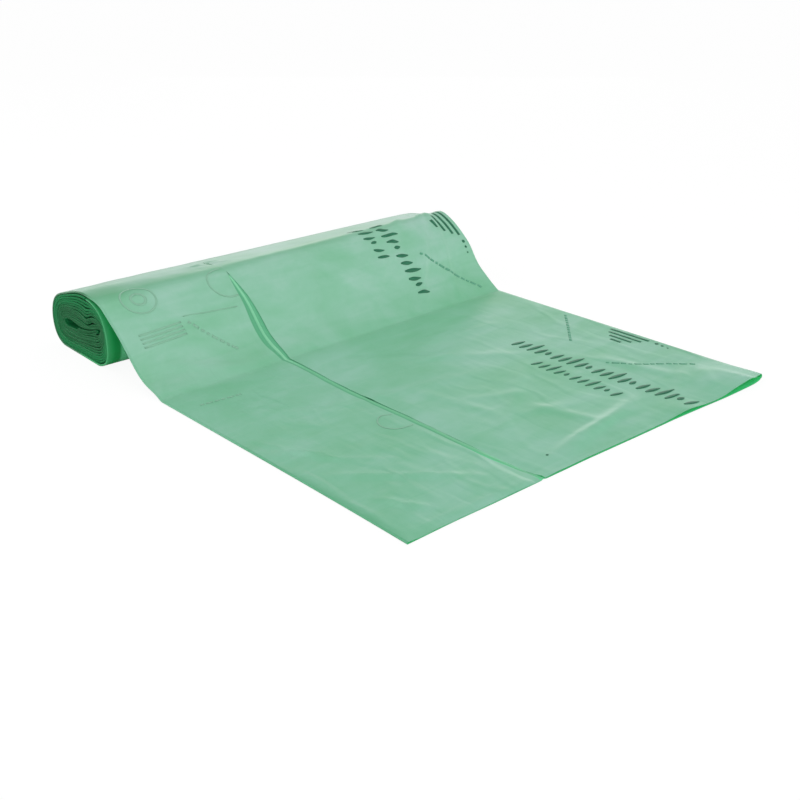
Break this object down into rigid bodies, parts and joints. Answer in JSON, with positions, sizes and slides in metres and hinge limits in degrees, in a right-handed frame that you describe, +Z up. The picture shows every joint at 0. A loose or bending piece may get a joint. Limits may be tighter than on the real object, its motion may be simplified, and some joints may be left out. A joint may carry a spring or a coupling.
{
  "type": "bin bag roll",
  "caption": "Coreless roll of folded refuse bags with the first bag pulled out: the web drapes off the roll to the floor and lies flat to its free edge.",
  "frame": {"origin": "on the floor, in the middle of the whole object seen from above", "axes": "+X from the roll to the free edge of the pulled-out bag, +Y along the roll from its near end to its far end, +Z up from the floor"},
  "size_m": [0.6786, 0.584, 0.093],
  "materials": {
    "film": "thin pale green film with a soft gloss"
  },
  "bodies": {
    "root": {"bag_roll": "film"}
  },
  "joints": []
}
